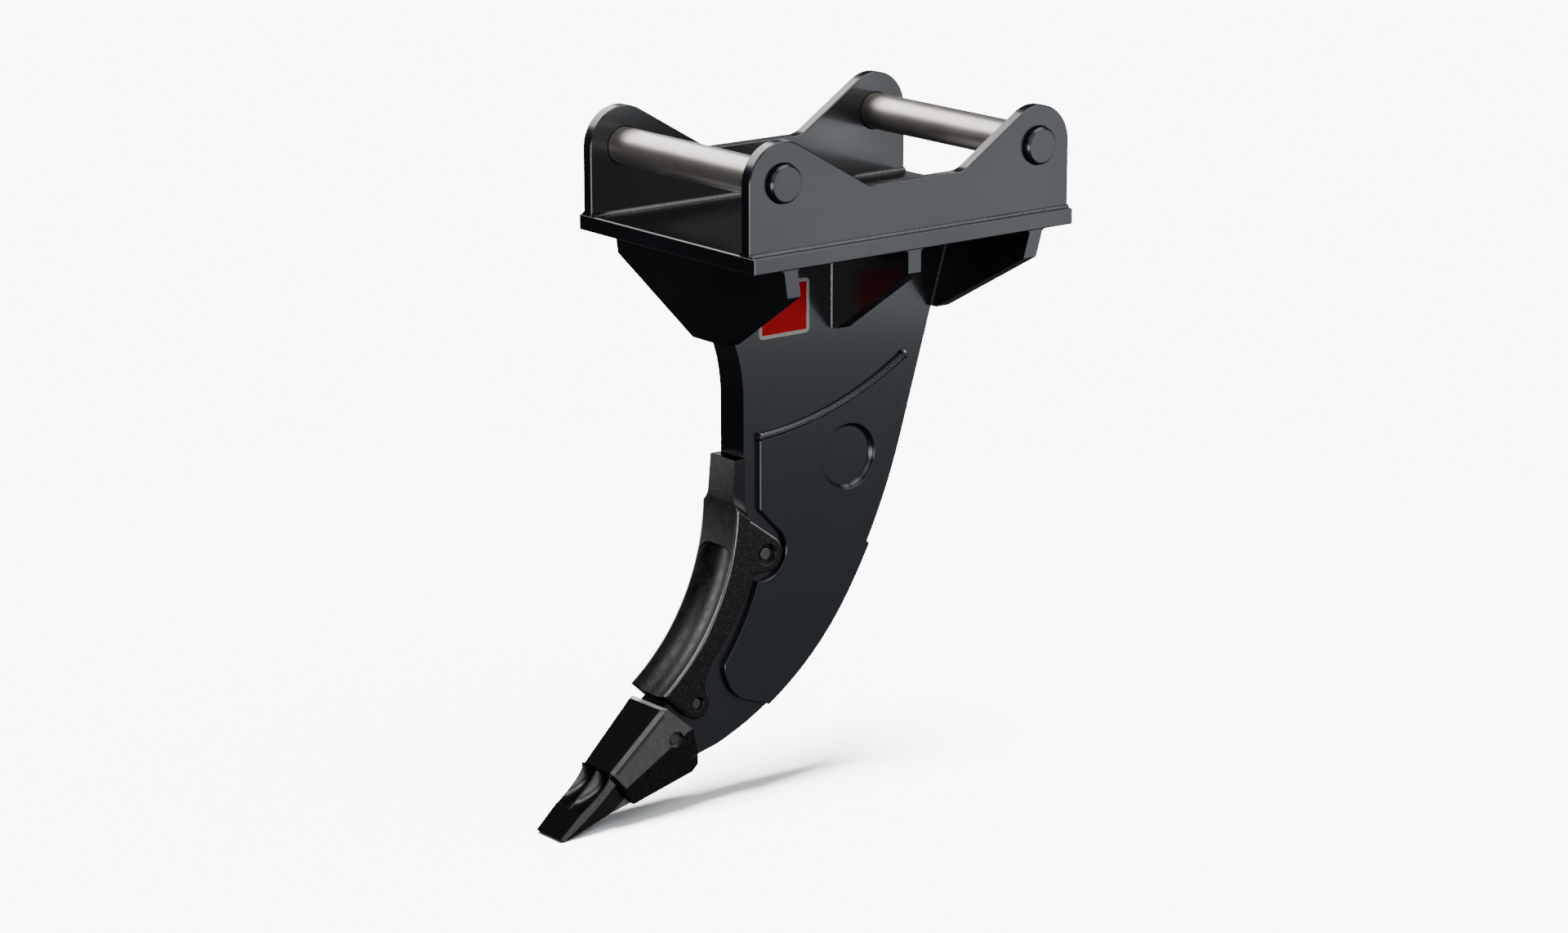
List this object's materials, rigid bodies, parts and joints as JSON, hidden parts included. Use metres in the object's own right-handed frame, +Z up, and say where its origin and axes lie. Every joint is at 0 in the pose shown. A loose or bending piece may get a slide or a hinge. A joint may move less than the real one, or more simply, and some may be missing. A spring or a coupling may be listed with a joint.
{
  "type": "ripper shank tooth",
  "caption": "Ripper shank for an excavator quick coupler: welded head with cross bars, curved shank plate, wear plates, cast guard and a pinned chisel tooth.",
  "frame": {"origin": "centre of the front coupler bar, on the middle plane of the shank", "axes": "+Z up out of the head, +X from the front bar to the rear bar, the tooth points down and to -X, -Y is the side seen in the picture (left when looking the way the tooth points)"},
  "size_m": [1.0246, 0.53, 1.2871],
  "materials": {
    "frame_paint": "glossy dark grey enamel over welded plate",
    "wear_paint": "glossy dark grey enamel over wear plate",
    "tooth_paint": "satin black paint over a forging",
    "guard_casting": "rough as-cast steel under thin black paint",
    "weld": "rippled bead under the same enamel",
    "bar_steel": "ground bright steel, lightly oiled",
    "lock_steel": "turned steel",
    "ring_steel": "spring steel"
  },
  "bodies": {
    "root": {"front_gusset": "frame_paint", "front_gusset_weld": "weld", "front_pin": "bar_steel", "guard": "guard_casting", "guard_pin_lower": "lock_steel", "guard_pin_upper": "lock_steel", "guard_ring_lower": "ring_steel", "guard_ring_upper": "ring_steel", "head_plate": "frame_paint", "mid_gusset_left": "frame_paint", "mid_gusset_right": "frame_paint", "mid_gusset_weld_left": "weld", "mid_gusset_weld_right": "weld", "plug_weld_left": "weld", "plug_weld_right": "weld", "rear_gusset": "frame_paint", "rear_gusset_weld": "weld", "rear_pin": "bar_steel", "shank": "frame_paint", "shank_weld": "weld", "side_plate_left": "frame_paint", "side_plate_right": "frame_paint", "side_plate_weld_left": "weld", "side_plate_weld_right": "weld", "tooth": "tooth_paint", "tooth_pin": "lock_steel", "tooth_ring": "ring_steel", "wear_plate_left": "wear_paint", "wear_plate_right": "wear_paint", "wear_plate_weld_left": "weld", "wear_plate_weld_right": "weld"}
  },
  "joints": []
}
